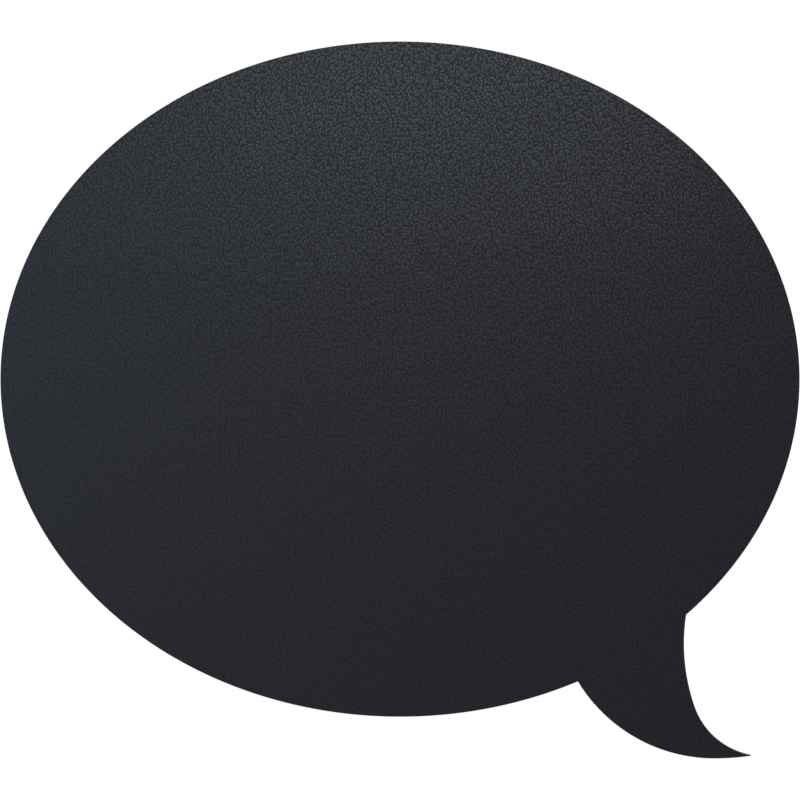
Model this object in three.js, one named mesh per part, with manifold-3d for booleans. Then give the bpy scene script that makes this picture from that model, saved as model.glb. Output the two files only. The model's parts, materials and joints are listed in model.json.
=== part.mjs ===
// A speech bubble chalkboard that hangs on a wall. A chalk laminate is glued to an MDF core,
// the core's back has a backing sheet, and a plastic band closes the edge. Behind, two strap
// hangers carry swinging D-rings, and four rubber bumpers hold the board off the wall.
//
// Millimetres, +Z up, the writing face towards -Y. The origin lies on the wall plane, behind
// the middle of the bubble. The board is drawn face-on: x right, y up, z away from the wall,
// and the last group turns that drawing upright.

import * as THREE from "three";
import { mergeVertices } from "three/addons/utils/BufferGeometryUtils.js";
import Module from "manifold-3d";

const wasm = await Module();
wasm.setup();

// Bubble: an upright oval
const bubbleWidth = 340;
const bubbleHeight = 287.3;

// Tail: its place is measured from the bubble's right and bottom tangents to the centre of
// the arc that makes its outer edge
const tailFromRight = 36.2;
const tailFromBottom = 50.25;
const tailOuterRadius = 68; // long outer edge, down to the lowest point
const tailToeRadius = 107.6; // flatter stretch from the lowest point to the tip
const innerToeRadius = 32.4; // hollow edge next to the tip
const innerToeAcross = 22.1; // from the outer arc's centre to the hollow edge's
const innerToeRise = 0.5; // from the tail's lowest point up to the foot of the hollow circle
const innerRootRadius = 81.6; // hollow edge up to the bubble
const innerTurnAngle = 199; // degrees, where the two hollow arcs meet

// Board, from the front to the back
const faceThickness = 0.8;
const coreThickness = 6;
const backThickness = 0.8;
const bandThickness = 0.8; // sideways, round the core and the backing sheet

// Ring hangers
const hangerAngle = 50; // degrees round the oval, and mirrored
const hangerFromRim = 32;
const wireRadius = 1;
const pivotClearance = 0.3;
const strapWidth = 10;
const strapThickness = 0.7; // one layer of the folded strip
const strapBendAngle = 45; // degrees, how steeply the upper layer comes down off the loop
const headFromLoop = 1.8; // flat stretch between the loop's foot and the screw's head
const ringSideGap = 3; // from the strap's side to the wire
const ringEndGap = 0.8; // from the strap's rounded end to the wire
const ringCornerRadius = 2; // to the middle of the wire

// Pan head screws
const screwDiameter = 3;
const screwRootDiameter = 2.1;
const screwStopsShort = 1.8; // board left between the screw's tip and the chalk face
const screwPitch = 1.1;
const screwTipLength = 1.6;
const screwNeck = 0.5; // plain stretch under the head
const headDiameter = 6;
const headHeight = 1.9;
const headRim = 0.6; // upright edge below the dome
const recessSpan = 3.3;
const recessWidth = 0.8;
const recessDepth = 1.2;
const holeClearance = 0.3;
const holeBottomGap = 0.5;

// Rubber bumpers
const wallGap = 1; // from the hangers' loops to the wall
const bumperDiameter = 12;
const bumperTopDiameter = 10.4;
const bumperRounding = 1.1;
const bumperAngle = 36; // degrees round the oval from its right end, and mirrored
const bumperFromRim = 30;

// How the curved edges and round pieces are faceted
const bubbleSteps = 136;
const arcStepDegrees = 3.5;
const ringSteps = 72;
const ringSides = 8;
const bumperSides = 28;
const bumperRoundingSteps = 4;
const screwSides = 12;
const threadRowsPerTurn = 5;
const domeSteps = 6;
const arcSegments = 12; // an arc drawn in a shape gets twice as many sides
const holeSides = 2 * arcSegments;
const weldDistance = 1e-4;

// Angles just past the corners, where the arcs of the tail's edges start and end
const outerEdgeFrom = 190;
const lowestPoint = 270;
const outerEdgeTo = 292;
const innerEdgeFrom = 284;
const innerEdgeTo = 155;

const { degToRad, radToDeg, lerp } = THREE.MathUtils;
const halfWidth = bubbleWidth / 2;
const halfHeight = bubbleHeight / 2;
const tailCentre = new THREE.Vector2(halfWidth - tailFromRight, tailFromBottom - halfHeight);

// Hanger sizes that follow, measured from the board's back and from the ring's pivot
const strapStack = 2 * strapThickness;
const loopInner = wireRadius + pivotClearance;
const loopOuter = loopInner + strapThickness;
const pivotHeight = loopOuter;
const loopTop = pivotHeight + loopOuter;
const bend = degToRad(strapBendAngle);

// Where the upper layer, leaving a loop of this radius at the bend, comes down to a height.
const footOfLoop = (radius, height) =>
  radius * Math.sin(bend) + (pivotHeight + radius * Math.cos(bend) - height) / Math.tan(bend);

const screwBelowPivot = footOfLoop(loopOuter, strapStack) + headFromLoop + headDiameter / 2;
const strapLength = screwBelowPivot + strapWidth / 2; // the screw sits in the rounded end
const ringArcRadius = strapWidth / 2 + ringSideGap + wireRadius;
const ringArcDrop = strapLength + ringEndGap + wireRadius - ringArcRadius;
const screwLength = strapStack + backThickness + coreThickness - screwStopsShort;

// Depths measured from the wall
const bumperHeight = loopTop + wallGap;
const boardBack = bumperHeight;
const coreBack = boardBack + backThickness;
const coreFront = coreBack + coreThickness;

// Solids: a closed geometry in, a closed geometry out

function solid(geometry) {
  const bare = geometry.clone();
  bare.deleteAttribute("normal");
  bare.deleteAttribute("uv");
  const merged = mergeVertices(bare, weldDistance);
  return new wasm.Manifold(
    new wasm.Mesh({
      numProp: 3,
      vertProperties: merged.attributes.position.array,
      triVerts: new Uint32Array(merged.index.array),
    }),
  );
}

function geometryOf(manifold) {
  const mesh = manifold.getMesh();
  const geometry = new THREE.BufferGeometry();
  geometry.setAttribute("position", new THREE.BufferAttribute(mesh.vertProperties, 3));
  geometry.setIndex(new THREE.BufferAttribute(mesh.triVerts, 1));
  geometry.computeVertexNormals();
  return geometry;
}

const cut = (from, ...tools) =>
  geometryOf(tools.reduce((left, tool) => left.subtract(solid(tool)), solid(from)));
const keepInside = (geometry, keep) => geometryOf(solid(geometry).intersect(solid(keep)));

function plate(points, thickness, holes = []) {
  const shape = new THREE.Shape(points);
  for (const { x, y, radius } of holes)
    shape.holes.push(new THREE.Path().absarc(x, y, radius, 0, 2 * Math.PI, true));
  return new THREE.ExtrudeGeometry(shape, {
    depth: thickness,
    bevelEnabled: false,
    curveSegments: arcSegments,
  });
}

// The board's edge, anticlockwise, drawn in by an inset

function rimPoint(degrees, inset = 0) {
  const a = degToRad(degrees);
  const point = new THREE.Vector2(halfWidth * Math.cos(a), halfHeight * Math.sin(a));
  const outward = new THREE.Vector2(halfHeight * Math.cos(a), halfWidth * Math.sin(a));
  return point.addScaledVector(outward.normalize(), -inset);
}

function arcPoints(centre, radius, from, to) {
  const steps = Math.ceil(Math.abs(to - from) / arcStepDegrees);
  return Array.from({ length: steps + 1 }, (_, i) => {
    const a = degToRad(lerp(from, to, i / steps));
    return new THREE.Vector2(Math.cos(a), Math.sin(a)).multiplyScalar(radius).add(centre);
  });
}

function tailOuterRun(inset) {
  const toeCentre = new THREE.Vector2(0, tailToeRadius - tailOuterRadius).add(tailCentre);
  return [
    ...arcPoints(tailCentre, tailOuterRadius - inset, outerEdgeFrom, lowestPoint),
    ...arcPoints(toeCentre, tailToeRadius - inset, lowestPoint, outerEdgeTo).slice(1),
  ];
}

function tailInnerRun(inset) {
  const toeUp = innerToeRise + innerToeRadius - tailOuterRadius;
  const toeCentre = new THREE.Vector2(innerToeAcross, toeUp).add(tailCentre);
  const turn = degToRad(innerTurnAngle);
  const rootCentre = new THREE.Vector2(Math.cos(turn), Math.sin(turn))
    .multiplyScalar(innerToeRadius - innerRootRadius)
    .add(toeCentre);
  return [
    ...arcPoints(toeCentre, innerToeRadius + inset, innerEdgeFrom, innerTurnAngle),
    ...arcPoints(rootCentre, innerRootRadius + inset, innerTurnAngle, innerEdgeTo).slice(1),
  ];
}

function crossing(runA, runB) {
  for (let i = 0; i + 1 < runA.length; i++)
    for (let j = 0; j + 1 < runB.length; j++) {
      const a = runA[i + 1].clone().sub(runA[i]);
      const b = runB[j + 1].clone().sub(runB[j]);
      const between = runB[j].clone().sub(runA[i]);
      const s = between.cross(b) / a.cross(b);
      const t = between.cross(a) / a.cross(b);
      if (s >= 0 && s < 1 && t >= 0 && t < 1)
        return { i, j, point: runA[i].clone().addScaledVector(a, s) };
    }
  throw new Error("two stretches of the board's edge do not meet");
}

// Once round the oval, starting in the tail's mouth, with a point at each end of both axes.
function bubbleRun(inset) {
  const tip = crossing(tailOuterRun(0), tailInnerRun(0)).point;
  const step = 360 / bubbleSteps;
  const first = Math.round(radToDeg(Math.atan2(tip.y / halfHeight, tip.x / halfWidth)) / step);
  return Array.from({ length: bubbleSteps + 1 }, (_, i) => rimPoint((first + i) * step, inset));
}

function edgeSections(inset) {
  const bubble = bubbleRun(inset);
  const outer = tailOuterRun(inset);
  const inner = tailInnerRun(inset);
  const leftRoot = crossing(bubble, outer);
  const tip = crossing(outer, inner);
  const rightRoot = crossing(inner, bubble);
  return {
    bubble: [
      rightRoot.point,
      ...bubble.slice(rightRoot.j + 1, leftRoot.i + 1),
      leftRoot.point,
    ],
    tailOuter: [leftRoot.point, ...outer.slice(leftRoot.j + 1, tip.i + 1), tip.point],
    tailInner: [tip.point, ...inner.slice(tip.j + 1, rightRoot.i + 1), rightRoot.point],
  };
}

function outline(inset) {
  const { bubble, tailOuter, tailInner } = edgeSections(inset);
  return [...bubble, ...tailOuter.slice(1), ...tailInner.slice(1, -1)];
}

// Hardware places, face-on

const mirrored = (degrees) => [degrees, 180 - degrees];
const bumperPlaces = [...mirrored(bumperAngle), ...mirrored(-bumperAngle)].map((degrees) =>
  rimPoint(degrees, bumperFromRim),
);
const hangerPlaces = mirrored(hangerAngle).map((degrees) => rimPoint(degrees, hangerFromRim));
const holeRadius = screwDiameter / 2 + holeClearance;
const screwHoles = hangerPlaces.map(({ x, y }) => ({
  x,
  y: y - screwBelowPivot,
  radius: holeRadius,
}));

// A drill along z, long enough to reach the given distance either way from its middle.
const drillAt = (x, y, reach) =>
  new THREE.CylinderGeometry(holeRadius, holeRadius, 2 * reach, holeSides)
    .rotateX(Math.PI / 2)
    .translate(x, y, 0);

// The board's layers and its edge band

const chalkFace = () => plate(outline(0), faceThickness);
const backSheet = () => plate(outline(bandThickness), backThickness, screwHoles);

function coreBoard() {
  const depth = coreThickness - screwStopsShort + holeBottomGap;
  const drills = screwHoles.map(({ x, y }) => drillAt(x, y, depth));
  return cut(plate(outline(bandThickness), coreThickness), ...drills);
}

function edgeBand(section) {
  const outside = edgeSections(0)[section];
  const inside = edgeSections(bandThickness)[section];
  return plate([...outside, ...inside.reverse()], backThickness + coreThickness);
}

// Hanger pieces, drawn on the board's back: x across, y up, z away from the board, and the
// ring's pivot over the origin

// The folded strip in section, height across and length up: along the board, round the ring's
// wire and back down onto itself.
function strapProfile() {
  const shape = new THREE.Shape()
    .moveTo(0, -strapLength)
    .lineTo(strapStack, -strapLength)
    .lineTo(strapStack, -footOfLoop(loopOuter, strapStack))
    .lineTo(pivotHeight + loopOuter * Math.cos(bend), -loopOuter * Math.sin(bend))
    .absarc(pivotHeight, 0, loopOuter, -bend, Math.PI, false)
    .lineTo(0, -strapLength);
  const eye = new THREE.Path()
    .moveTo(strapThickness, 0)
    .absarc(pivotHeight, 0, loopInner, Math.PI, -bend, true)
    .lineTo(strapThickness, -footOfLoop(loopInner, strapThickness))
    .lineTo(strapThickness, 0);
  shape.holes.push(eye);
  return shape;
}

function hangerStrap() {
  const strip = new THREE.ExtrudeGeometry(strapProfile(), {
    depth: strapWidth,
    bevelEnabled: false,
    curveSegments: arcSegments,
  })
    .translate(0, 0, -strapWidth / 2)
    .rotateY(-Math.PI / 2);
  const plan = new THREE.Shape()
    .moveTo(strapWidth / 2, loopTop)
    .lineTo(-strapWidth / 2, loopTop)
    .lineTo(-strapWidth / 2, -screwBelowPivot)
    .absarc(0, -screwBelowPivot, strapWidth / 2, Math.PI, 2 * Math.PI, false)
    .lineTo(strapWidth / 2, loopTop);
  const blank = new THREE.ExtrudeGeometry(plan, {
    depth: 2 * loopTop,
    bevelEnabled: false,
    curveSegments: arcSegments,
  }).translate(0, 0, -loopTop / 2);
  return cut(keepInside(strip, blank), drillAt(0, -screwBelowPivot, loopTop));
}

// A D drawn by the middle of the wire: a bar through the strap, two tight corners and an arc.
class RingCurve extends THREE.Curve {
  constructor() {
    super();
    const cornerSpan = ringArcRadius - ringCornerRadius;
    const cornerFall = ringArcDrop - ringCornerRadius;
    const cornerAcross = Math.sqrt(cornerSpan ** 2 - cornerFall ** 2);
    const meet = Math.atan2(cornerFall, cornerAcross);
    this.path = new THREE.Path()
      .moveTo(-cornerAcross, 0)
      .lineTo(cornerAcross, 0)
      .absarc(cornerAcross, -ringCornerRadius, ringCornerRadius, Math.PI / 2, meet, true)
      .absarc(0, -ringArcDrop, ringArcRadius, meet, Math.PI - meet, true)
      .absarc(-cornerAcross, -ringCornerRadius, ringCornerRadius, Math.PI - meet, Math.PI / 2, true);
  }

  getPoint(t, target = new THREE.Vector3()) {
    const { x, y } = this.path.getPoint(t);
    return target.set(x, y, 0);
  }
}

const hangerRing = () =>
  new THREE.TubeGeometry(new RingCurve(), ringSteps, wireRadius, ringSides, true);

// A screw along z, with the underside of its head at z 0. The thread is a helix: each row of
// the shank bulges where the turn passes.
function hangerScrew() {
  const root = screwRootDiameter / 2;
  const crest = screwDiameter / 2;
  const head = headDiameter / 2;
  const dome = headHeight - headRim;
  const threaded = screwLength - screwNeck - screwTipLength;
  const rows = Math.round((threaded / screwPitch) * threadRowsPerTurn);
  const profile = [new THREE.Vector2(0, -screwLength)];
  for (let i = 0; i <= rows; i++)
    profile.push(new THREE.Vector2(root, -screwLength + screwTipLength + (threaded * i) / rows));
  profile.push(new THREE.Vector2(root, 0), new THREE.Vector2(head, 0));
  for (let i = 0; i < domeSteps; i++) {
    const a = ((Math.PI / 2) * i) / domeSteps;
    profile.push(new THREE.Vector2(head * Math.cos(a), headRim + dome * Math.sin(a)));
  }
  profile.push(new THREE.Vector2(0, headHeight));
  const blank = new THREE.LatheGeometry(profile, screwSides);
  const position = blank.attributes.position;
  for (let i = 0; i < position.count; i++) {
    const [x, y, z] = [position.getX(i), position.getY(i), position.getZ(i)];
    const onAxis = Math.hypot(x, z) < root / 2;
    if (onAxis || y >= -screwNeck) continue;
    const turn = y / screwPitch - Math.atan2(z, x) / (2 * Math.PI);
    const fromCrest = Math.abs(turn - Math.round(turn)) * 2;
    const bulge = 1 + (crest / root - 1) * Math.max(0, 1 - 2 * fromCrest);
    position.setXYZ(i, x * bulge, y, z * bulge);
  }
  blank.rotateX(Math.PI / 2);
  const slots = [Math.PI / 4, (3 * Math.PI) / 4].map((turn) =>
    new THREE.BoxGeometry(recessSpan, recessWidth, 2 * recessDepth)
      .translate(0, 0, headHeight)
      .rotateZ(turn),
  );
  return cut(blank, ...slots);
}

function wallBumper() {
  const base = bumperDiameter / 2;
  const top = bumperTopDiameter / 2;
  const profile = [new THREE.Vector2(0, 0), new THREE.Vector2(base, 0)];
  for (let i = 0; i <= bumperRoundingSteps; i++) {
    const a = ((Math.PI / 2) * i) / bumperRoundingSteps;
    const across = top - bumperRounding * (1 - Math.cos(a));
    profile.push(new THREE.Vector2(across, bumperHeight - bumperRounding * (1 - Math.sin(a))));
  }
  profile.push(new THREE.Vector2(0, bumperHeight));
  return new THREE.LatheGeometry(profile, bumperSides).rotateX(Math.PI / 2);
}

// Finishes

const finish = (color, roughness, metalness = 0) =>
  new THREE.MeshStandardMaterial({ color, roughness, metalness });
const chalkLaminate = finish(0x2e3035, 0.62);
const mdf = finish(0xb08d62, 0.85);
const kraftBacking = finish(0x6e5039, 0.8);
const edgePlastic = finish(0x1f2124, 0.5);
const zincSteel = finish(0xb8bbbf, 0.35, 1);
const nickelWire = finish(0xc6c4bd, 0.25, 1);
const screwSteel = finish(0xc9bd8f, 0.35, 1);
const rubber = finish(0x17181a, 0.75);

function piece(name, geometry, material, x = 0, y = 0, z = 0) {
  const mesh = new THREE.Mesh(geometry, material);
  mesh.name = name;
  mesh.position.set(x, y, z);
  return mesh;
}

function boardPieces() {
  return [
    piece("chalk_face", chalkFace(), chalkLaminate, 0, 0, coreFront),
    piece("core_board", coreBoard(), mdf, 0, 0, coreBack),
    piece("back_sheet", backSheet(), kraftBacking, 0, 0, boardBack),
    piece("edge_band_bubble", edgeBand("bubble"), edgePlastic, 0, 0, boardBack),
    piece("edge_band_tail_outer", edgeBand("tailOuter"), edgePlastic, 0, 0, boardBack),
    piece("edge_band_tail_inner", edgeBand("tailInner"), edgePlastic, 0, 0, boardBack),
  ];
}

// What sits on the board's back is drawn pointing out of it, and turned towards the wall.
function onTheBack({ x, y }, ...pieces) {
  const group = new THREE.Group();
  group.position.set(x, y, boardBack);
  group.rotation.y = Math.PI;
  group.add(...pieces);
  return group;
}

const sideOf = ({ x }) => (x > 0 ? "right" : "left");
const levelOf = ({ y }) => (y > 0 ? "upper" : "lower");

function hanger(place) {
  const side = sideOf(place);
  return onTheBack(
    place,
    piece(`hanger_strap_${side}`, hangerStrap(), zincSteel),
    piece(`hanger_ring_${side}`, hangerRing(), nickelWire, 0, 0, pivotHeight),
    piece(`hanger_screw_${side}`, hangerScrew(), screwSteel, 0, -screwBelowPivot, strapStack),
  );
}

const bumper = (place) =>
  onTheBack(place, piece(`wall_bumper_${levelOf(place)}_${sideOf(place)}`, wallBumper(), rubber));

const chalkboard = new THREE.Group();
chalkboard.rotation.x = Math.PI / 2;
chalkboard.add(...boardPieces(), ...hangerPlaces.map(hanger), ...bumperPlaces.map(bumper));

const part = new THREE.Group();
part.add(chalkboard);

export default part;
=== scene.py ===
# Speech bubble chalkboard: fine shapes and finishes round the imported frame.
# Metres, +Z up, the writing face towards -Y and the wall's plane at y 0.
import math

import bmesh
import bpy
from mathutils import Matrix, Vector
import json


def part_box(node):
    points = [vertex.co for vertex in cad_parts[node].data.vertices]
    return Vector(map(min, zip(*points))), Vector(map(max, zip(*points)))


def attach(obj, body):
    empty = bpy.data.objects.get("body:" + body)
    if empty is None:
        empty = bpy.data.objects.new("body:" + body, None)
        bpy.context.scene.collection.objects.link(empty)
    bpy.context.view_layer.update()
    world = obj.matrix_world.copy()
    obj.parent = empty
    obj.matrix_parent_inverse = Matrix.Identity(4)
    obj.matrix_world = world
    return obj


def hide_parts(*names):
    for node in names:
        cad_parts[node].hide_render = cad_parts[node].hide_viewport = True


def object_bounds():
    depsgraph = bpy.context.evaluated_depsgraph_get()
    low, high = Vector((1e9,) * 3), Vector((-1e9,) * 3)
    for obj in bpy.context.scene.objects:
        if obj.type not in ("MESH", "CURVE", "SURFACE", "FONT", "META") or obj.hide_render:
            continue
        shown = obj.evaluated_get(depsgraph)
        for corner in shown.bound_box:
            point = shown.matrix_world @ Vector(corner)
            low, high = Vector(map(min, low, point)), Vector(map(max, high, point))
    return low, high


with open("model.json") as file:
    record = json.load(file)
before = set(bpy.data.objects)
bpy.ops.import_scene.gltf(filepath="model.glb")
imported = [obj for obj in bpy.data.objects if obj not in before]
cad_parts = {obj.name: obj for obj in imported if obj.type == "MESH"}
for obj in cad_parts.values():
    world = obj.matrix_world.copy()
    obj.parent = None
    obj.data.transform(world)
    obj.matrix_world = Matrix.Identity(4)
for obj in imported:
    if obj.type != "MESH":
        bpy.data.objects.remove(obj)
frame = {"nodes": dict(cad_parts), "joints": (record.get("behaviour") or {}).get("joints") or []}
cadLow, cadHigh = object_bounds()
scene = bpy.context.scene
print("frame loaded,", len(frame["nodes"]), "nodes")


# Camera, square on to the writing face with the photograph's framing

cameraView = {
    "lens": 200,  # mm, long, because the photograph shows none of the board's sides
    "sensor": 36,  # mm
    "photoPixels": 800,  # the photograph is square
    "bubblePixels": 799.2,  # width of the bubble in it
    "middlePixel": 379.1,  # height of the bubble's middle, from the top
}

bubbleLow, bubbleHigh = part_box("edge_band_bubble")
faceLow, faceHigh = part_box("chalk_face")


def placeCamera(view):
    pixel = (bubbleHigh.x - bubbleLow.x) / view["bubblePixels"]
    distance = pixel * view["photoPixels"] * view["lens"] / view["sensor"]
    drop = (view["photoPixels"] / 2 - view["middlePixel"]) * pixel
    data = bpy.data.cameras.new("camera")
    data.lens = view["lens"]
    data.sensor_width = view["sensor"]
    camera = bpy.data.objects.new("camera", data)
    camera.location = (0, faceLow.y - distance, -drop)
    camera.rotation_euler = (math.pi / 2, 0, 0)
    scene.collection.objects.link(camera)
    scene.camera = camera


placeCamera(cameraView)
print("camera placed")


# Finishes

screen = {
    "white": 255,
    "darkest": 10,  # up to here the curve is a straight line
    "darkSlope": 3295,
    "offset": 0.055,
    "power": 2.4,
}
noiseRange = (0.3, 0.7)  # most of a noise's values
whole = (0, 1)
mixColours = {"first": 6, "second": 7, "result": 2}  # places of a Mix node's colour sockets


# A colour as it looks on a screen, made linear.
def fromScreen(colour):
    return (*(linearPart(part) for part in colour), 1)


def linearPart(part):
    if part > screen["darkest"]:
        return ((part / screen["white"] + screen["offset"]) / (1 + screen["offset"])) ** screen["power"]
    return part / screen["darkSlope"]


def newMaterial(name, colour, roughness, metallic=0, shine=0.5):
    made = bpy.data.materials.new(name)
    made.use_nodes = True
    shader = made.node_tree.nodes["Principled BSDF"]
    shader.inputs["Base Color"].default_value = fromScreen(colour)
    shader.inputs["Roughness"].default_value = roughness
    shader.inputs["Metallic"].default_value = metallic
    shader.inputs["Specular IOR Level"].default_value = shine
    return made, shader


def addNode(made, kind, inputs=None, **settings):
    node = made.node_tree.nodes.new(kind)
    for name, value in settings.items():
        setattr(node, name, value)
    for name, value in (inputs or {}).items():
        node.inputs[name].default_value = value
    return node


def link(made, fromSocket, toSocket):
    made.node_tree.links.new(fromSocket, toSocket)


# The place on the piece in metres, stretched or squeezed along each axis.
def place(made, stretch=(1, 1, 1)):
    coordinates = addNode(made, "ShaderNodeTexCoord")
    mapping = addNode(made, "ShaderNodeMapping", {"Scale": stretch})
    link(made, coordinates.outputs["Object"], mapping.inputs["Vector"])
    return mapping.outputs["Vector"]


def noise(made, spot, size, detail=2, roughness=0.5):
    inputs = {"Scale": 1 / size, "Detail": detail, "Roughness": roughness}
    node = addNode(made, "ShaderNodeTexNoise", inputs)
    link(made, spot, node.inputs["Vector"])
    return node.outputs["Fac"]


# Spreads one range of a value evenly over another, from low to high.
def rescale(made, value, low, high, fromRange=noiseRange):
    inputs = {"From Min": fromRange[0], "From Max": fromRange[1], "To Min": low, "To Max": high}
    node = addNode(made, "ShaderNodeMapRange", inputs)
    link(made, value, node.inputs["Value"])
    return node.outputs["Result"]


def multiply(made, first, second):
    node = addNode(made, "ShaderNodeMath", operation="MULTIPLY")
    link(made, first, node.inputs[0])
    link(made, second, node.inputs[1])
    return node.outputs["Value"]


# From the first colour to the second, each a fixed one or a node's.
def blendColours(made, factor, first, second):
    node = addNode(made, "ShaderNodeMix", data_type="RGBA")
    link(made, factor, node.inputs["Factor"])
    for name, colour in (("first", first), ("second", second)):
        socket = node.inputs[mixColours[name]]
        if isinstance(colour, tuple):
            socket.default_value = fromScreen(colour)
        else:
            link(made, colour, socket)
    return node.outputs[mixColours["result"]]


# Relief of a given depth in metres, on top of any relief before it.
def relief(made, height, depth, before=None):
    node = addNode(made, "ShaderNodeBump", {"Strength": 1, "Distance": depth})
    link(made, height, node.inputs["Height"])
    if before is not None:
        link(made, before, node.inputs["Normal"])
    return node.outputs["Normal"]


# How far each place on an upright sheet is from the middle of its pebble, in pebbles,
# and a colour that each pebble has drawn at random.
def pebbled(made, spot, size):
    upright = addNode(made, "ShaderNodeMapping", {"Rotation": (math.pi / 2, 0, 0)})
    link(made, spot, upright.inputs["Vector"])
    node = addNode(made, "ShaderNodeTexVoronoi", voronoi_dimensions="2D")
    node.inputs["Scale"].default_value = 1 / size
    link(made, upright.outputs["Vector"], node.inputs["Vector"])
    return node.outputs["Distance"], node.outputs["Color"]


chalkFinish = {
    # The valleys are painted darker as shade in the pebbles' hollows, and the crests are lighter with
    # chalk dust.
    "shadedValleyColour": (29.9, 30.5, 35.0),
    "crestColour": (35.2, 35.7, 40.1),
    "roughness": (0.205, 0.225),
    "clouds": {"size": 0.045, "detail": 3},
    "shine": (0.0037, 0.0280),  # in the valleys and on the crests, which wiping has polished
    "polish": (0.7, 1.3),  # from the least to the most polished pebble
    "shineColour": (238, 248, 255),
    "pebbleSize": 0.00098,
    "pebbleStretch": (1, 1, 0.72),  # taller than wide
    "pebbleSlope": (0, 0.5),  # from crest to valley, in pebbles
    "pebbleDepth": 0.000008,
}


def makeChalkLaminate(look):
    made, shader = newMaterial("chalkLaminate", look["crestColour"], look["roughness"][0])
    shader.inputs["Specular Tint"].default_value = fromScreen(look["shineColour"])
    clouds = noise(made, place(made), **look["clouds"])
    link(made, rescale(made, clouds, *look["roughness"]), shader.inputs["Roughness"])
    pebbles, drawn = pebbled(made, place(made, look["pebbleStretch"]), look["pebbleSize"])
    crests = rescale(made, pebbles, 1, 0, look["pebbleSlope"])
    # Painted shade: the colour darkens from the crests, pale with chalk dust, into the valleys.
    colour = blendColours(made, crests, look["shadedValleyColour"], look["crestColour"])
    link(made, colour, shader.inputs["Base Color"])
    polished = multiply(made, crests, rescale(made, drawn, *look["polish"]))
    shine = rescale(made, polished, *look["shine"], whole)
    shine.node.clamp = False  # the most polished crests go past the range
    link(made, shine, shader.inputs["Specular IOR Level"])
    link(made, relief(made, crests, look["pebbleDepth"]), shader.inputs["Normal"])
    return made


laminateEdgeFinish = {
    "colour": (26, 23, 21),
    "paleColour": (40, 33, 28),
    "roughness": 0.75,
    "shine": 0.05,
    "fibres": {"size": 0.0005, "detail": 4},
    "fibreStretch": (1, 4, 1),  # the sheet's layers lie flat
    "fibreDepth": 0.00001,
}


def makeLaminateEdge(look):
    made, shader = newMaterial("laminateEdge", look["colour"], look["roughness"], shine=look["shine"])
    fibres = noise(made, place(made, look["fibreStretch"]), **look["fibres"])
    colour = blendColours(made, rescale(made, fibres, *whole), look["colour"], look["paleColour"])
    link(made, colour, shader.inputs["Base Color"])
    link(made, relief(made, fibres, look["fibreDepth"]), shader.inputs["Normal"])
    return made


edgePlasticFinish = {
    "colour": (34, 35, 38),
    "scuffColour": (48, 49, 52),
    "roughness": 0.56,
    "scuffRoughness": 0.66,
    "shine": 0.2,
    "grain": {"size": 0.0007},
    "grainDepth": 0.000001,
    "scuffs": {"size": 0.018, "detail": 6, "roughness": 0.7},
    "scuffRange": (0.5, 0.8),
}


def makeEdgePlastic(look):
    made, shader = newMaterial("edgePlastic", look["colour"], look["roughness"], shine=look["shine"])
    scuffs = rescale(made, noise(made, place(made), **look["scuffs"]), *whole, look["scuffRange"])
    colour = blendColours(made, scuffs, look["colour"], look["scuffColour"])
    link(made, colour, shader.inputs["Base Color"])
    roughness = rescale(made, scuffs, look["roughness"], look["scuffRoughness"], whole)
    link(made, roughness, shader.inputs["Roughness"])
    grain = noise(made, place(made), **look["grain"])
    link(made, relief(made, grain, look["grainDepth"]), shader.inputs["Normal"])
    return made


kraftFinish = {
    "colour": (125, 93, 67),
    "cloudColour": (116, 85, 60),
    "fibreColour": (137, 103, 76),
    "speckColour": (98, 71, 50),
    "roughness": (0.66, 0.8),
    "shine": 0.35,
    "clouds": {"size": 0.06, "detail": 5},
    "fibres": {"size": 0.0005, "detail": 3, "roughness": 0.6},
    "fibreStretches": ((1, 1, 0.2), (0.3, 1, 1)),  # the paper's fibres lie along and across
    "fibreRange": (0.5, 0.75),
    "specks": {"size": 0.0008, "detail": 1},
    "speckRange": (0.68, 0.78),
    "fibreDepth": 0.00003,
}


def makeKraftBacking(look):
    roughness = look["roughness"]
    made, shader = newMaterial("kraftBacking", look["colour"], roughness[0], shine=look["shine"])
    clouds = rescale(made, noise(made, place(made), **look["clouds"]), *whole)
    colour = blendColours(made, clouds, look["colour"], look["cloudColour"])
    normal = None
    for stretch in look["fibreStretches"]:
        fibres = noise(made, place(made, stretch), **look["fibres"])
        flecks = rescale(made, fibres, *whole, look["fibreRange"])
        colour = blendColours(made, flecks, colour, look["fibreColour"])
        normal = relief(made, fibres, look["fibreDepth"], normal)
    specks = rescale(made, noise(made, place(made), **look["specks"]), *whole, look["speckRange"])
    link(made, blendColours(made, specks, colour, look["speckColour"]), shader.inputs["Base Color"])
    link(made, rescale(made, fibres, *roughness), shader.inputs["Roughness"])
    link(made, normal, shader.inputs["Normal"])
    return made


fibreboardFinish = {
    "colour": (178, 146, 106),
    "darkColour": (140, 108, 74),
    "roughness": 0.88,
    "fibres": {"size": 0.0009, "detail": 5, "roughness": 0.7},
    "fibreDepth": 0.00008,
}


def makeFibreboard(look):
    made, shader = newMaterial("fibreboard", look["colour"], look["roughness"])
    fibres = noise(made, place(made), **look["fibres"])
    colour = blendColours(made, rescale(made, fibres, *whole), look["colour"], look["darkColour"])
    link(made, colour, shader.inputs["Base Color"])
    link(made, relief(made, fibres, look["fibreDepth"]), shader.inputs["Normal"])
    return made


zincFinish = {
    "colour": (188, 192, 198),
    "dullColour": (158, 163, 172),
    "roughness": (0.26, 0.44),
    "streaks": {"size": 0.0012, "detail": 3},
    "streakStretch": (1, 1, 0.07),  # rolled along the strip
    "streakDepth": 0.000012,
    "clouds": {"size": 0.004, "detail": 4, "roughness": 0.6},
}


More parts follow.
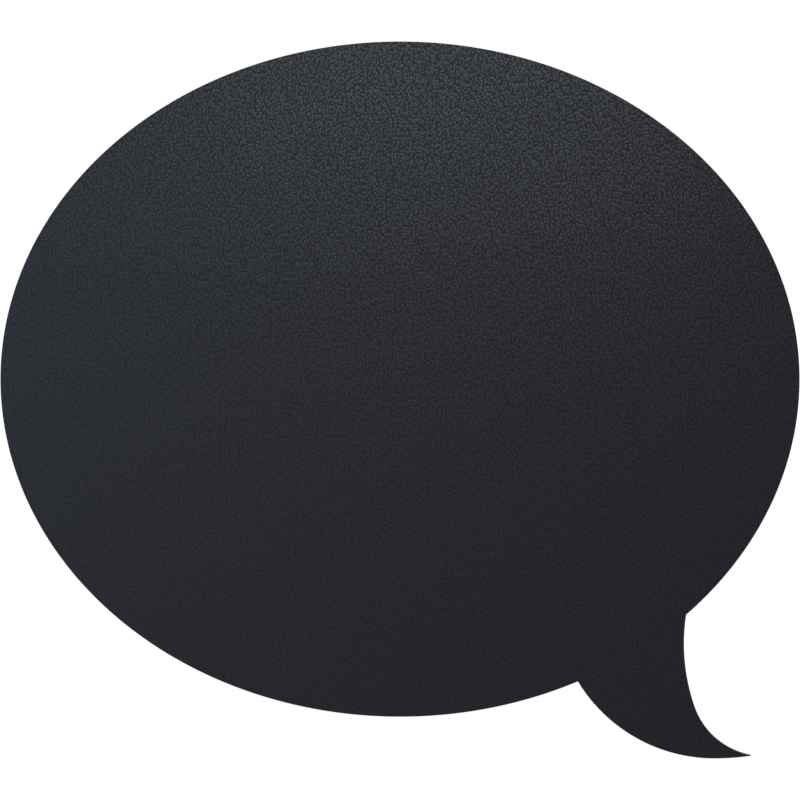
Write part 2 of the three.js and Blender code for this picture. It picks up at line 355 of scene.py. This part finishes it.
def makeZincSteel(look):
    made, shader = newMaterial("zincSteel", look["colour"], look["roughness"][0], metallic=1)
    clouds = noise(made, place(made), **look["clouds"])
    colour = blendColours(made, rescale(made, clouds, *whole), look["colour"], look["dullColour"])
    link(made, colour, shader.inputs["Base Color"])
    streaks = noise(made, place(made, look["streakStretch"]), **look["streaks"])
    link(made, rescale(made, streaks, *look["roughness"]), shader.inputs["Roughness"])
    link(made, relief(made, streaks, look["streakDepth"]), shader.inputs["Normal"])
    return made


nickelFinish = {
    "colour": (206, 202, 192),
    "dullColour": (190, 185, 174),
    "roughness": (0.18, 0.24),
    "clouds": {"size": 0.006, "detail": 5, "roughness": 0.65},
    "scratches": {"size": 0.0006},
    "scratchDepth": 0.0000005,
}


def makeNickelWire(look):
    made, shader = newMaterial("nickelWire", look["colour"], look["roughness"][0], metallic=1)
    clouds = noise(made, place(made), **look["clouds"])
    colour = blendColours(made, rescale(made, clouds, *whole), look["colour"], look["dullColour"])
    link(made, colour, shader.inputs["Base Color"])
    link(made, rescale(made, clouds, *look["roughness"]), shader.inputs["Roughness"])
    scratches = noise(made, place(made), **look["scratches"])
    link(made, relief(made, scratches, look["scratchDepth"]), shader.inputs["Normal"])
    return made


yellowZincFinish = {
    "colour": (208, 186, 122),
    "tintColour": (186, 178, 150),
    "roughness": (0.22, 0.4),
    "tints": {"size": 0.0022, "detail": 3},
    "grain": {"size": 0.0003},
    "grainDepth": 0.000005,
}


def makeYellowZinc(look):
    made, shader = newMaterial("yellowZinc", look["colour"], look["roughness"][0], metallic=1)
    tints = noise(made, place(made), **look["tints"])
    colour = blendColours(made, rescale(made, tints, *whole), look["colour"], look["tintColour"])
    link(made, colour, shader.inputs["Base Color"])
    link(made, rescale(made, tints, *look["roughness"]), shader.inputs["Roughness"])
    grain = noise(made, place(made), **look["grain"])
    link(made, relief(made, grain, look["grainDepth"]), shader.inputs["Normal"])
    return made


rubberFinish = {
    "colour": (36, 37, 39),
    "dustColour": (54, 54, 54),
    "roughness": 0.72,
    "dust": {"size": 0.0025, "detail": 6, "roughness": 0.7},
    "dustRange": (0.48, 0.75),
    "grain": {"size": 0.0005},
    "grainDepth": 0.00003,
}


def makeRubber(look):
    made, shader = newMaterial("rubber", look["colour"], look["roughness"])
    dust = rescale(made, noise(made, place(made), **look["dust"]), *whole, look["dustRange"])
    link(made, blendColours(made, dust, look["colour"], look["dustColour"]), shader.inputs["Base Color"])
    grain = noise(made, place(made), **look["grain"])
    link(made, relief(made, grain, look["grainDepth"]), shader.inputs["Normal"])
    return made


chalkLaminate = makeChalkLaminate(chalkFinish)
laminateEdge = makeLaminateEdge(laminateEdgeFinish)
edgePlastic = makeEdgePlastic(edgePlasticFinish)
kraftBacking = makeKraftBacking(kraftFinish)
fibreboard = makeFibreboard(fibreboardFinish)
zincSteel = makeZincSteel(zincFinish)
nickelWire = makeNickelWire(nickelFinish)
yellowZinc = makeYellowZinc(yellowZincFinish)
rubber = makeRubber(rubberFinish)
print("finishes made")


# Making pieces

sharpAngle = 35  # degrees, from which an edge is left sharp, or eased
easeSegments = 2
weld = 1e-7  # metres, within which vertices are the same


def addPiece(bm, name, *materials):
    mesh = bpy.data.meshes.new(name)
    bm.to_mesh(mesh)
    bm.free()
    for made in materials:
        mesh.materials.append(made)
    piece = bpy.data.objects.new(name, mesh)
    scene.collection.objects.link(piece)
    return piece


# Stands a finished piece in for its node.
def standIn(piece, node, body):
    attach(piece, body)
    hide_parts(node)


# Turns the live modifiers into mesh, so that none is left on the piece.
def applyModifiers(piece):
    graph = bpy.context.evaluated_depsgraph_get()
    mesh = bpy.data.meshes.new_from_object(piece.evaluated_get(graph))
    piece.modifiers.clear()
    piece.data = mesh


# Cuts, joins or keeps in common, and uses the cutter up.
def carve(piece, cutter, operation):
    step = piece.modifiers.new("carve", "BOOLEAN")
    step.object = cutter
    step.operation = operation
    step.solver = "EXACT"
    applyModifiers(piece)
    bpy.data.objects.remove(cutter)


# Eases the edges sharper than an angle and smooths the shading of what is rounded.
def easeEdges(piece, width, sharper=sharpAngle):
    step = piece.modifiers.new("ease", "BEVEL")
    step.width = width
    step.segments = easeSegments
    step.limit_method = "ANGLE"
    step.angle_limit = math.radians(sharper)
    step.use_clamp_overlap = True
    applyModifiers(piece)
    shadeSmooth(piece, sharper)


def shadeSmooth(piece, sharper=sharpAngle):
    piece.data.polygons.foreach_set("use_smooth", [True] * len(piece.data.polygons))
    piece.data.set_sharp_from_angle(angle=math.radians(sharper))


def tidy(bm, distance=weld):
    bmesh.ops.remove_doubles(bm, verts=bm.verts, dist=distance)
    bmesh.ops.recalc_face_normals(bm, faces=bm.faces)


# The board's edge, as the frame has it: an oval and a tail of four arcs, in the XZ plane

tail = {
    "fromRight": 0.0362,  # from the bubble's right tangent to the centre of the outer arc
    "outerRadius": 0.068,
    "toeRadius": 0.1076,
    "hollowRadius": 0.0324,
    "hollowAcross": 0.0221,  # from the outer arc's centre
    "hollowRise": 0.0005,  # from the tail's lowest point
    "rootRadius": 0.0816,
    "turnAngle": 199,  # degrees, where the hollow arcs meet
    "outerInside": 190,  # degrees, places on the outer and the root arc inside the bubble,
    "rootInside": 155,  # from where their ends at its oval are looked for
}
edgeSteps = {"bubble": 420, "outer": 34, "toe": 9, "hollow": 24, "root": 18}
lowestPoint = 270  # degrees
halvings = 50  # of the stretch in which an angle is looked for
cornerWeld = 1e-6  # metres, closes the corners between the arcs


def onCircle(circle, degrees):
    centre, radius = circle
    a = math.radians(degrees)
    return centre + radius * Vector((math.cos(a), math.sin(a)))


def angleOn(circle, point):
    centre, _ = circle
    return math.degrees(math.atan2(point.y - centre.y, point.x - centre.x)) % 360


# Where a value changes sign between two angles.
def crossing(value, low, high):
    rising = value(high) > value(low)
    for _ in range(halvings):
        middle = (low + high) / 2
        if (value(middle) > 0) == rising:
            high = middle
        else:
            low = middle
    return low


# The arcs of the edge and the corners between them, drawn in by an inset.
def edgePlan(inset):
    half = Vector((bubbleHigh.x - inset, bubbleHigh.z - inset))
    middle = Vector((bubbleHigh.x - tail["fromRight"], faceLow.z + tail["outerRadius"]))
    outer = (middle, tail["outerRadius"] - inset)
    toe = (middle + Vector((0, tail["toeRadius"] - tail["outerRadius"])), tail["toeRadius"] - inset)
    hollowUp = tail["hollowRise"] + tail["hollowRadius"] - tail["outerRadius"]
    hollow = (middle + Vector((tail["hollowAcross"], hollowUp)), tail["hollowRadius"] + inset)
    rootCentre = onCircle((hollow[0], tail["hollowRadius"] - tail["rootRadius"]), tail["turnAngle"])
    root = (rootCentre, tail["rootRadius"] + inset)

    def outsideOval(circle):
        def value(degrees):
            point = onCircle(circle, degrees)
            return (point.x / half.x) ** 2 + (point.y / half.y) ** 2 - 1

        return value

    def outsideHollow(degrees):
        return (onCircle(toe, degrees) - hollow[0]).length - hollow[1]

    def ovalAngle(point):
        return math.degrees(math.atan2(point.y / half.y, point.x / half.x)) % 360

    outerFrom = crossing(outsideOval(outer), tail["outerInside"], lowestPoint)
    rootTo = crossing(outsideOval(root), tail["rootInside"], tail["turnAngle"])
    tipAngle = crossing(outsideHollow, lowestPoint, angleOn(toe, hollow[0]))
    hollowFrom = angleOn(hollow, onCircle(toe, tipAngle))
    bubbleFrom = ovalAngle(onCircle(root, rootTo)) - 360
    bubbleTo = ovalAngle(onCircle(outer, outerFrom))
    return {
        "half": half,
        "bubble": (bubbleFrom, bubbleTo),
        "tailOuter": [
            (outer, outerFrom, lowestPoint, edgeSteps["outer"]),
            (toe, lowestPoint, tipAngle, edgeSteps["toe"]),
        ],
        "tailInner": [
            (hollow, hollowFrom, tail["turnAngle"], edgeSteps["hollow"]),
            (root, tail["turnAngle"], rootTo, edgeSteps["root"]),
        ],
    }


# Draws on from a vertex, round a centre, and returns the new vertices in order.
def drawArc(bm, start, centre, degrees, steps):
    before = set(bm.verts)
    bmesh.ops.spin(
        bm,
        geom=[start],
        cent=(centre.x, start.co.y, centre.y),
        axis=(0, -1, 0),
        angle=math.radians(degrees),
        steps=steps,
    )
    drawn = [start]
    fresh = set(bm.verts) - before
    while True:
        ahead = [e.other_vert(drawn[-1]) for e in drawn[-1].link_edges]
        ahead = [v for v in ahead if v in fresh]
        if not ahead:
            return drawn
        drawn.append(ahead[0])
        fresh.discard(ahead[0])


# One section of the board's edge, as vertices in order.
def drawRun(bm, section, inset, depth):
    plan = edgePlan(inset)
    if section == "bubble":
        first, last = plan["bubble"]
        point = onCircle((Vector((0, 0)), 1), first)
        start = bm.verts.new((point.x, depth, point.y))
        run = drawArc(bm, start, Vector((0, 0)), last - first, edgeSteps["bubble"])
        bmesh.ops.scale(bm, vec=(plan["half"].x, 1, plan["half"].y), verts=run)
        return run
    run = []
    for circle, first, last, steps in plan[section]:
        if not run:
            point = onCircle(circle, first)
            run = [bm.verts.new((point.x, depth, point.y))]
        run += drawArc(bm, run[-1], circle[0], last - first, steps)[1:]
    return run


# A flat sheet of the board's shape, from its front to its back.
def boardSheet(inset, front, back):
    bm = bmesh.new()
    for section in ("bubble", "tailOuter", "tailInner"):
        drawRun(bm, section, inset, front)
    bmesh.ops.remove_doubles(bm, verts=bm.verts, dist=cornerWeld)
    bmesh.ops.contextual_create(bm, geom=bm.edges[:])
    thicken(bm, back - front)
    return bm


# Pulls every face of a flat shape back along Y, and closes it.
def thicken(bm, distance):
    pulled = bmesh.ops.extrude_face_region(bm, geom=bm.faces[:], use_keep_orig=True)
    moved = [v for v in pulled["geom"] if isinstance(v, bmesh.types.BMVert)]
    bmesh.ops.translate(bm, vec=(0, distance, 0), verts=moved)
    bmesh.ops.recalc_face_normals(bm, faces=bm.faces)


# Eases the edges that lie at one depth.
def roundRim(bm, depth, width, segments):
    rim = [e for e in bm.edges if all(abs(v.co.y - depth) < weld for v in e.verts)]
    bmesh.ops.bevel(
        bm,
        geom=rim,
        offset=width,
        offset_type="OFFSET",
        segments=segments,
        profile=0.5,
        affect="EDGES",
        clamp_overlap=False,
        material=-1,
    )


board = {
    "faceArris": (0.0001, 3),  # the width of an eased edge and the steps across it
    "bandFrontArris": (0.0001, 1),
    "bandBackArris": (0.00015, 2),
    "sheetArris": (0.0001, 1),
    "sheetGap": 0.00003,  # between the backing sheet and the band
    "cutBelow": 0.9,  # how square to Y a facet is, below which it shows the laminate's edge
    "flatFrom": 0.999,  # and from which it is shaded flat
}
sheetLow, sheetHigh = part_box("back_sheet")
bandThickness = bubbleHigh.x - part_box("core_board")[1].x


def makeChalkFace():
    bm = boardSheet(0, faceLow.y, faceHigh.y)
    roundRim(bm, faceLow.y, *board["faceArris"])
    for face in bm.faces:
        square = abs(face.normal.y)
        face.material_index = 1 if square < board["cutBelow"] else 0
        face.smooth = square < board["flatFrom"]
    piece = addPiece(bm, "chalkFace", chalkLaminate, laminateEdge)
    standIn(piece, "chalk_face", "board")


def makeBand(name, section, node):
    bm = bmesh.new()
    front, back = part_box(node)[0].y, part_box(node)[1].y
    outside = drawRun(bm, section, 0, front)
    inside = drawRun(bm, section, bandThickness, front)
    for a, b, c, d in zip(outside, outside[1:], inside[1:], inside):
        bmesh.ops.contextual_create(bm, geom=[a, b, c, d])
    thicken(bm, back - front)
    roundRim(bm, back, *board["bandBackArris"])
    roundRim(bm, front, *board["bandFrontArris"])
    piece = addPiece(bm, name, edgePlastic)
    shadeSmooth(piece)
    standIn(piece, node, "board")


def makeBackSheet():
    inset = bandThickness + board["sheetGap"]
    bm = boardSheet(inset, sheetLow.y, sheetHigh.y)
    roundRim(bm, sheetHigh.y, *board["sheetArris"])
    piece = addPiece(bm, "backSheet", kraftBacking)
    for side in ("left", "right"):
        low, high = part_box("hanger_screw_" + side)
        middle = Vector(((low.x + high.x) / 2, sheetHigh.y, (low.z + high.z) / 2))
        carve(piece, makeDrill(middle), "DIFFERENCE")
    standIn(piece, "back_sheet", "board")


hole = {"radius": 0.0018, "reach": 0.004, "sides": 48}  # for the screws


def makeDrill(middle):
    bm = bmesh.new()
    turn = Matrix.Translation(middle) @ Matrix.Rotation(math.pi / 2, 4, "X")
    bmesh.ops.create_cone(
        bm,
        cap_ends=True,
        segments=hole["sides"],
        radius1=hole["radius"],
        radius2=hole["radius"],
        depth=2 * hole["reach"],
        matrix=turn,
    )
    return addPiece(bm, "drill")


makeChalkFace()
makeBand("bandBubble", "bubble", "edge_band_bubble")
makeBand("bandTailOuter", "tailOuter", "edge_band_tail_outer")
makeBand("bandTailInner", "tailInner", "edge_band_tail_inner")
makeBackSheet()
core = frame["nodes"]["core_board"]
core.data.materials.clear()
core.data.materials.append(fibreboard)
print("board made")


# Hangers, drawn round the ring's pivot and then put in place: y away from the board, z up

strap = {
    "layer": 0.00068,
    "layerGap": 0.00004,
    "bend": 45,  # degrees, how steeply the upper layer comes down off the loop
    "footRounding": 0.0006,
    "footSteps": 4,
    "loopSteps": 30,
    "endSteps": 28,
    "spare": 0.0006,  # past the sides and the lower end, cut off with the plan's outline
    "blankReach": 2,  # of the block past the pivot, times the pivot's distance from the board
    "ease": 0.00009,
}


# Pulls edges out into a strip and returns its far edges.
def extrudeEdges(bm, edges, distance):
    pulled = bmesh.ops.extrude_edge_only(bm, edges=edges)["geom"]
    moved = [v for v in pulled if isinstance(v, bmesh.types.BMVert)]
    bmesh.ops.translate(bm, vec=distance, verts=moved)
    far = set(moved)
    return [e for e in pulled if isinstance(e, bmesh.types.BMEdge) and set(e.verts) <= far]


# Folded as one sheet: up the board, round the ring's bar, down a slope and on over itself.
def makeStrap(side, pivot):
    low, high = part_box("hanger_strap_" + side)
    halfWidth = (high.x - low.x) / 2
    length = pivot.z - low.z
    toBoard = pivot.y - low.y  # from the pivot to the board's back
    lower = strap["layer"] / 2 - toBoard
    upper = lower + strap["layer"] + strap["layerGap"]
    radius = -lower
    bm = bmesh.new()
    wide = halfWidth + strap["spare"]
    ends = [bm.verts.new((x, lower, -length - strap["spare"])) for x in (-wide, wide)]
    edge = [bm.edges.new(ends)]
    edge = extrudeEdges(bm, edge, (0, 0, length + strap["spare"]))
    spun = bmesh.ops.spin(
        bm,
        geom=edge + list(edge[0].verts),
        cent=(0, 0, 0),
        axis=(-1, 0, 0),
        angle=math.radians(180 + strap["bend"]),
        steps=strap["loopSteps"],
    )
    edge = [e for e in spun["geom_last"] if isinstance(e, bmesh.types.BMEdge)]
    bend = math.radians(strap["bend"])
    fall = radius * math.cos(bend) - upper
    edge = extrudeEdges(bm, edge, (0, -fall, -fall / math.tan(bend)))
    foot = edge
    footAt = edge[0].verts[0].co.z
    extrudeEdges(bm, edge, (0, 0, -length - strap["spare"] - footAt))
    bmesh.ops.bevel(
        bm,
        geom=foot,
        offset=strap["footRounding"],
        offset_type="OFFSET",
        segments=strap["footSteps"],
        profile=0.5,
        affect="EDGES",
        material=-1,
    )
    tidy(bm)
    bmesh.ops.translate(bm, vec=pivot, verts=bm.verts)
    piece = addPiece(bm, "strap_" + side, zincSteel)
    shell = piece.modifiers.new("layer", "SOLIDIFY")
    shell.thickness = strap["layer"]
    shell.offset = 0
    shell.use_even_offset = True
    applyModifiers(piece)
    blank = makeStrapBlank(pivot, halfWidth, length, strap["blankReach"] * toBoard)
    carve(piece, blank, "INTERSECT")
    carve(piece, makeDrill(pivot + Vector((0, 0, halfWidth - length))), "DIFFERENCE")
    easeEdges(piece, strap["ease"])
    standIn(piece, "hanger_strap_" + side, "board")


# The strap's plan as a block: straight sides and a round lower end.
def makeStrapBlank(pivot, halfWidth, length, reach):
    bm = bmesh.new()
    start = bm.verts.new((-halfWidth, -reach, halfWidth - length))
    run = drawArc(bm, start, Vector((0, halfWidth - length)), 180, strap["endSteps"])
    top = [bm.verts.new((x, -reach, reach)) for x in (halfWidth, -halfWidth)]
    bmesh.ops.contextual_create(bm, geom=run + top)
    thicken(bm, 2 * reach)
    bmesh.ops.translate(bm, vec=pivot, verts=bm.verts)
    return addPiece(bm, "strapBlank")


ring = {
    "cornerRadius": 0.002,  # to the middle of the wire
    "wireSides": 28,
    "arcSteps": 96,
    "cornerSteps": 14,
    "sharpAngle": 60,
    "weld": 1e-6,
}


# Round wire swept from the middle of the straight bar, round the D and back to it.
def makeRing(side, pivot):
    low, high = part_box("hanger_ring_" + side)
    wire = (high.y - low.y) / 2
    arcRadius = (high.x - low.x) / 2 - wire
    drop = pivot.z - low.z - wire - arcRadius
    cornerFall = drop - ring["cornerRadius"]
    cornerAcross = math.sqrt((arcRadius - ring["cornerRadius"]) ** 2 - cornerFall**2)
    meet = math.degrees(math.atan2(cornerFall, cornerAcross))
    bm = bmesh.new()
    bmesh.ops.create_circle(
        bm,
        segments=ring["wireSides"],
        radius=wire,
        matrix=Matrix.Rotation(math.pi / 2, 4, "Y"),
    )
    section = extrudeEdges(bm, bm.edges[:], (cornerAcross, 0, 0))
    turns = (
        ((cornerAcross, -ring["cornerRadius"]), 90 - meet, ring["cornerSteps"]),
        ((0, -drop), 180 + 2 * meet, ring["arcSteps"]),
        ((-cornerAcross, -ring["cornerRadius"]), 90 - meet, ring["cornerSteps"]),
    )
    for (x, z), degrees, steps in turns:
        spun = bmesh.ops.spin(
            bm,
            geom=section + list({v for e in section for v in e.verts}),
            cent=(x, 0, z),
            axis=(0, 1, 0),
            angle=math.radians(degrees),
            steps=steps,
        )
        section = [e for e in spun["geom_last"] if isinstance(e, bmesh.types.BMEdge)]
    extrudeEdges(bm, section, (cornerAcross, 0, 0))
    tidy(bm, ring["weld"])
    bmesh.ops.translate(bm, vec=pivot, verts=bm.verts)
    piece = addPiece(bm, "ring_" + side, nickelWire)
    shadeSmooth(piece, ring["sharpAngle"])
    standIn(piece, "hanger_ring_" + side, "ring_" + side)


screw = {
    "headHeight": 0.0019,
    "headRim": 0.0005,
    "rimRounding": 0.0002,
    "rootRadius": 0.00105,
    "threadRadius": 0.0015,
    "threadSides": 24,  # steps in one turn
    "threadSink": 0.0002,  # into the root
    "threadHalf": 0.3,  # of the pitch, up and down from the thread's crest
    "threadWeld": 1e-8,
    "pitch": 0.0011,
    "neck": 0.0005,
    "tip": 0.0016,
    "domeSteps": 10,
    "sides": 48,
    "recessTurns": (45, 135),  # degrees
    "recessSpan": 0.0042,
    "recessWidth": 0.00098,
    "recessDepth": 0.0012,
    "recessTaper": 0.62,
    "ease": 0.00005,
    "sharpAngle": 40,
}


# Turns a run of points (across, along Y) into a round solid about the Y axis.
def turned(points, sides):
    bm = bmesh.new()
    run = [bm.verts.new((across, along, 0)) for across, along in points]
    for a, b in zip(run, run[1:]):
        bm.edges.new((a, b))
    bmesh.ops.spin(
        bm,
        geom=bm.verts[:] + bm.edges[:],
        cent=(0, 0, 0),
        axis=(0, 1, 0),
        angle=2 * math.pi,
        steps=sides,
        use_merge=True,
    )
    tidy(bm)
    return bm


# Turned with its head's dome, then threaded and given its cross recess.
def makeScrew(side):
    low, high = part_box("hanger_screw_" + side)
    middle = Vector(((low.x + high.x) / 2, high.y - screw["headHeight"], (low.z + high.z) / 2))
    length = middle.y - low.y
    headRadius = (high.z - low.z) / 2
    dome = screw["headHeight"] - screw["headRim"]
    points = [(0, -length), (screw["rootRadius"], screw["tip"] - length)]
    points += [(screw["rootRadius"], 0), (headRadius - screw["rimRounding"], 0)]
    points += [(headRadius, screw["rimRounding"]), (headRadius, screw["headRim"])]
    for i in range(1, screw["domeSteps"] + 1):
        a = math.pi / 2 * i / screw["domeSteps"]
        points.append((headRadius * math.cos(a), screw["headRim"] + dome * math.sin(a)))
    points[-1] = (0, screw["headHeight"])
    bm = turned(points, screw["sides"])
    bmesh.ops.translate(bm, vec=middle, verts=bm.verts)
    piece = addPiece(bm, "screw_" + side, yellowZinc)
    carve(piece, makeThread(middle, length), "UNION")
    for turn in screw["recessTurns"]:
        carve(piece, makeRecess(middle, turn), "DIFFERENCE")
    easeEdges(piece, screw["ease"], screw["sharpAngle"])
    standIn(piece, "hanger_screw_" + side, "board")


# The thread as one ridge wound round the shank.
def makeThread(middle, length):
    rise = length - screw["neck"] - screw["tip"]
    turns = rise / screw["pitch"]
    steps = round(turns * screw["threadSides"])
    root = screw["rootRadius"] - screw["threadSink"]
    half = screw["pitch"] * screw["threadHalf"]
    bm = bmesh.new()
    corners = ((root, -half), (screw["threadRadius"], 0), (root, half))
    section = [bm.verts.new((x, y - screw["neck"] - half, 0)) for x, y in corners]
    face = bm.faces.new(section)
    bmesh.ops.spin(
        bm,
        geom=[face],
        cent=(0, 0, 0),
        axis=(0, 1, 0),
        dvec=(0, -rise / steps, 0),
        angle=2 * math.pi * turns,
        steps=steps,
    )
    tidy(bm, screw["threadWeld"])
    bmesh.ops.translate(bm, vec=middle, verts=bm.verts)
    return addPiece(bm, "thread")


# One arm of the cross recess: a bar that narrows towards the bottom.
def makeRecess(middle, turn):
    bm = bmesh.new()
    bmesh.ops.create_cube(bm, size=1)
    bottom = [v for v in bm.verts if v.co.y < 0]
    bmesh.ops.scale(bm, vec=(screw["recessTaper"], 1, screw["recessTaper"]), verts=bottom)
    size = (screw["recessSpan"], 2 * screw["recessDepth"], screw["recessWidth"])
    bmesh.ops.scale(bm, vec=size, verts=bm.verts)
    top = middle + Vector((0, screw["headHeight"], 0))
    onHead = Matrix.Translation(top) @ Matrix.Rotation(math.radians(turn), 4, "Y")
    bmesh.ops.transform(bm, matrix=onHead, verts=bm.verts)
    return addPiece(bm, "recess")


for joint in frame["joints"]:
    hangerSide = joint["child"].removeprefix("ring_")
    hangerPivot = Vector(joint["pos_m"])
    makeStrap(hangerSide, hangerPivot)
    makeRing(hangerSide, hangerPivot)
    makeScrew(hangerSide)
print("hangers made")


# Rubber bumpers

bumper = {
    "topRadius": 0.0052,
    "rounding": 0.0011,
    "roundingSteps": 6,
    "footRounding": 0.0003,
    "footMiddle": 0.3,  # of the foot's rounding, how near its middle comes to the corner
    "sides": 64,
    "sharpAngle": 40,
}


def makeBumper(corner):
    node = "wall_bumper_" + corner
    low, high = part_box(node)
    base = (high.x - low.x) / 2
    height = high.y - low.y
    foot = bumper["footRounding"]
    footMiddle = foot * bumper["footMiddle"]
    points = [(0, 0), (base - foot, 0), (base - footMiddle, footMiddle), (base, foot)]
    for i in range(bumper["roundingSteps"] + 1):
        a = math.pi / 2 * i / bumper["roundingSteps"]
        across = bumper["topRadius"] - bumper["rounding"] * (1 - math.cos(a))
        points.append((across, height - bumper["rounding"] * (1 - math.sin(a))))
    points.append((0, height))
    bm = turned(points, bumper["sides"])
    middle = Vector(((low.x + high.x) / 2, low.y, (low.z + high.z) / 2))
    bmesh.ops.translate(bm, vec=middle, verts=bm.verts)
    piece = addPiece(bm, "bumper_" + corner, rubber)
    shadeSmooth(piece, bumper["sharpAngle"])
    standIn(piece, node, "board")


for bumperCorner in ("upper_left", "upper_right", "lower_left", "lower_right"):
    makeBumper(bumperCorner)
print("bumpers made")


# Floor, light and surroundings

studio = {
    "floorDrop": 0.12,  # below the tail
    "floorSize": 6,
    "floorColour": (235, 232, 232),
    "floorRoughness": 0.9,
    "shadowReach": (0.2, 0.48),  # where the floor starts and ends fading to white
    "ambient": 0.05,
    "aim": (0, 0, 0),  # of every lamp
}
lamps = {
    "keyLamp": {
        "at": (0.05, -2, 0.31),
        "size": (0.5, 0.2),
        "watts": 28,
        "colour": (1, 1, 1),
    },
    "sideLamp": {
        "at": (-0.34, -0.3, 0.12),
        "size": (0.2, 0.2),
        "watts": 1.6,
        "colour": (0.83, 0.99, 1),
    },
    "backLamp": {
        "at": (-0.5, 1.3, 1.0),
        "size": (0.9, 0.7),
        "watts": 22,
        "colour": (1, 0.99, 0.98),
    },
    "backFill": {
        "at": (1.2, 0.9, 0.1),
        "size": (0.8, 0.9),
        "watts": 8,
        "colour": (0.95, 0.98, 1),
    },
}
levelOnly = (1, 1, 0)  # leaves a place's height out


# One for what the camera sees straight, or in metal or glass, and nought for other light.
def straightRays(made):
    rays = addNode(made, "ShaderNodeLightPath")
    seen = rays.outputs["Is Camera Ray"]
    for also in ("Is Glossy Ray", "Is Transmission Ray"):
        larger = addNode(made, "ShaderNodeMath", operation="MAXIMUM")
        link(made, seen, larger.inputs[0])
        link(made, rays.outputs[also], larger.inputs[1])
        seen = larger.outputs["Value"]
    return seen


# A pale floor that keeps the shadow and fades to white away from it.
def makeFloor():
    bm = bmesh.new()
    bmesh.ops.create_grid(bm, x_segments=1, y_segments=1, size=studio["floorSize"] / 2)
    bmesh.ops.translate(bm, vec=(0, 0, cadLow.z - studio["floorDrop"]), verts=bm.verts)
    made, shader = newMaterial("floor", studio["floorColour"], studio["floorRoughness"], shine=0)
    white = addNode(made, "ShaderNodeEmission", {"Color": (1, 1, 1, 1), "Strength": 1})
    away = addNode(made, "ShaderNodeVectorMath", operation="LENGTH")
    link(made, place(made, levelOnly), away.inputs[0])
    fade = rescale(made, away.outputs["Value"], *whole, studio["shadowReach"])
    fade.node.interpolation_type = "SMOOTHSTEP"
    seen = multiply(made, fade, straightRays(made))
    mix = addNode(made, "ShaderNodeMixShader")
    link(made, seen, mix.inputs["Fac"])
    link(made, shader.outputs["BSDF"], mix.inputs[1])
    link(made, white.outputs["Emission"], mix.inputs[2])
    link(made, mix.outputs["Shader"], made.node_tree.nodes["Material Output"].inputs["Surface"])
    addPiece(bm, "floor", made)


def makeWorld():
    world = bpy.data.worlds.new("studio")
    world.use_nodes = True
    scene.world = world
    background = world.node_tree.nodes["Background"]
    background.inputs["Color"].default_value = (1, 1, 1, 1)
    strength = rescale(world, straightRays(world), studio["ambient"], 1, whole)
    link(world, strength, background.inputs["Strength"])


def makeLamp(name, lamp):
    data = bpy.data.lights.new(name, "AREA")
    data.shape = "RECTANGLE"
    data.size, data.size_y = lamp["size"]
    data.energy = lamp["watts"]
    data.color = lamp["colour"]
    made = bpy.data.objects.new(name, data)
    at = Vector(lamp["at"])
    made.location = at
    made.rotation_euler = (Vector(studio["aim"]) - at).to_track_quat("-Z", "Y").to_euler()
    made.visible_camera = False
    scene.collection.objects.link(made)


makeFloor()
makeWorld()
for lampName, lampValues in lamps.items():
    makeLamp(lampName, lampValues)
scene.view_settings.view_transform = "Standard"
print("studio made")
